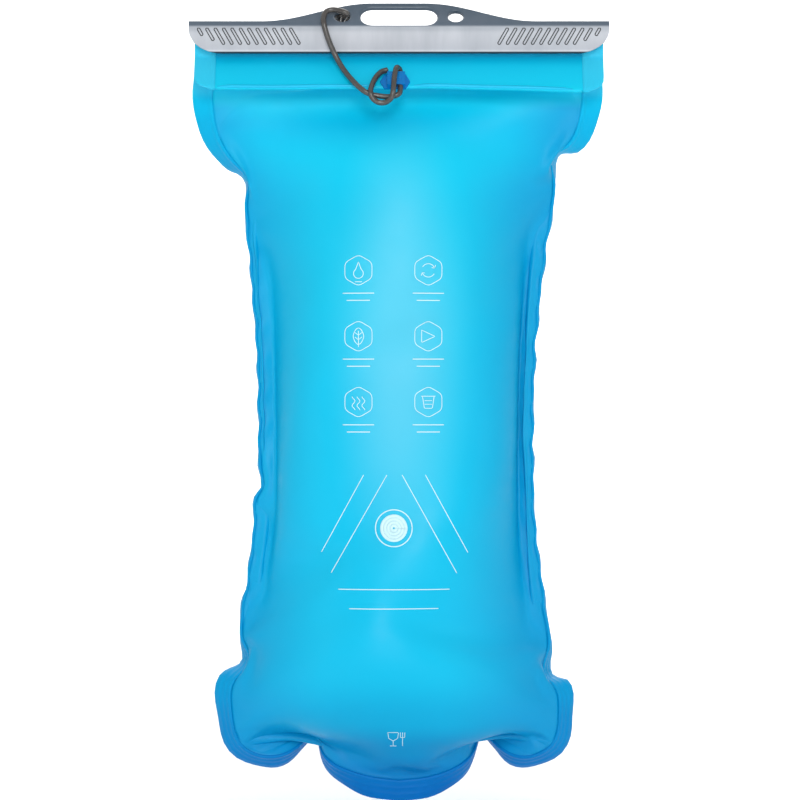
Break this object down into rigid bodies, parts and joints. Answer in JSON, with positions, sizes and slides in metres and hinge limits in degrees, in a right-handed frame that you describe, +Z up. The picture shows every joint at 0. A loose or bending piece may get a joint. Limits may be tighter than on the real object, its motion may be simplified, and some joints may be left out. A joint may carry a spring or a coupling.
{
  "type": "hydration bladder",
  "caption": "Soft film water bladder with a slide-off channel closure, folded mouth, tether, carry slot and a rear hose outlet with a shut-off valve.",
  "frame": {"origin": "centre of the hang slot in the slider", "axes": "+Z up along the hanging bag, +X along the slider, -Y is the front with the folded mouth, +Y the back with the hose outlet"},
  "size_m": [0.19, 0.0914, 0.3586],
  "materials": {
    "slider": "satin",
    "film": "satin",
    "rail": "satin",
    "film_trim": "gloss",
    "cord": "matte",
    "port": "satin",
    "valve": "satin",
    "poppet": "satin",
    "seal": "matte",
    "spring": "brushed"
  },
  "bodies": {
    "slider": {"slider": "slider", "tether_cord": "cord", "tether_knot": "cord"},
    "bag": {"front_panel": "film", "back_panel": "film", "core_rail": "rail", "lip_bead_outer": "film_trim", "lip_bead_inner": "film_trim", "tether_tab": "film_trim", "port_flange": "port", "flange_seal": "seal", "valve_body": "valve", "socket_seal": "seal", "valve_spring": "spring", "valve_cage": "port", "port_trim": "valve"},
    "poppet": {"valve_poppet": "poppet", "poppet_seal": "seal"}
  },
  "joints": [
    {"name": "closure_slide", "type": "slide", "parent": "slider", "child": "bag", "axis": [-1, 0, 0], "range_m": [0, 0.19], "deforming": ["tether_cord"]},
    {"name": "valve_travel", "type": "slide", "parent": "bag", "child": "poppet", "axis": [0, -1, 0], "range_m": [0, 0.003], "stiffness_N_per_m": 800, "springref_m": -0.001, "deforming": ["valve_spring"]}
  ]
}
